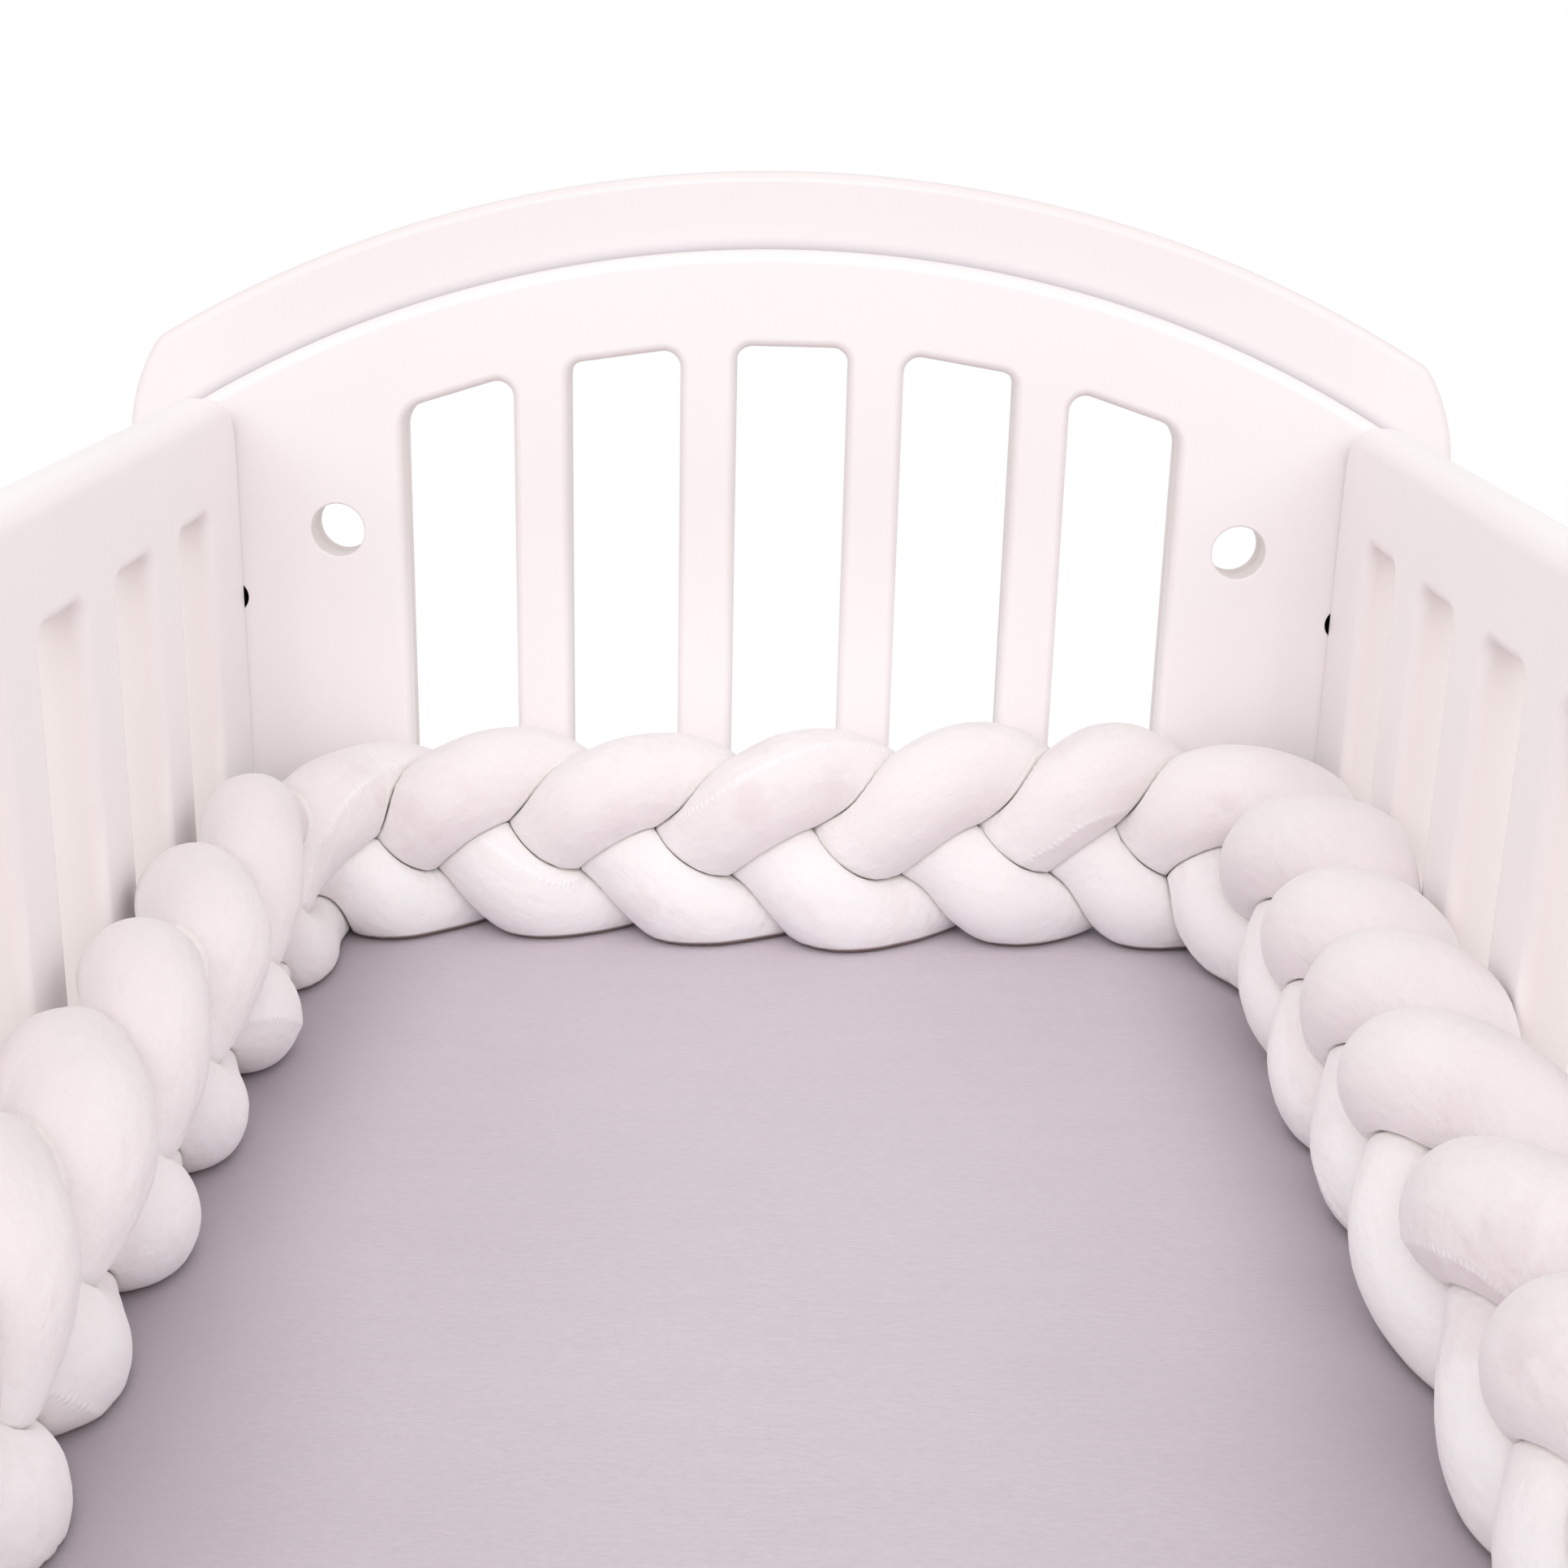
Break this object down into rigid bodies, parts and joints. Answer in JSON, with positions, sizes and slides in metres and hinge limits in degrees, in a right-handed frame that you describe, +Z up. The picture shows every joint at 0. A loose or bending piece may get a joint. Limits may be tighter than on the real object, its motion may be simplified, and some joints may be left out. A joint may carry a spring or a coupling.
{
  "type": "crib bumper in a crib",
  "caption": "Stuffed velvet crib bumper, plaited flat and standing in a U round the head end and both sides of a slotted crib with an arched end, on a covered mattress.",
  "frame": {"origin": "on the floor under the middle of the crib", "axes": "+X across the crib, +Y along it towards the head end that the bumper bends round, +Z up"},
  "size_m": [0.75, 1.2756, 1.001],
  "materials": {
    "white_paint": "satin white paint with a faint pink cast",
    "braid_velvet": "short-pile white velvet",
    "mattress_cover": "lilac-grey short-pile velvet",
    "bare_wood": "sanded softwood"
  },
  "bodies": {
    "root": {"head_panel": "white_paint", "head_board": "white_paint", "foot_panel": "white_paint", "foot_board": "white_paint", "left_side": "white_paint", "right_side": "white_paint", "mattress": "mattress_cover", "base": "bare_wood", "head_cleat": "bare_wood", "foot_cleat": "bare_wood", "strand_1": "braid_velvet", "strand_2": "braid_velvet", "strand_3": "braid_velvet"}
  },
  "joints": []
}
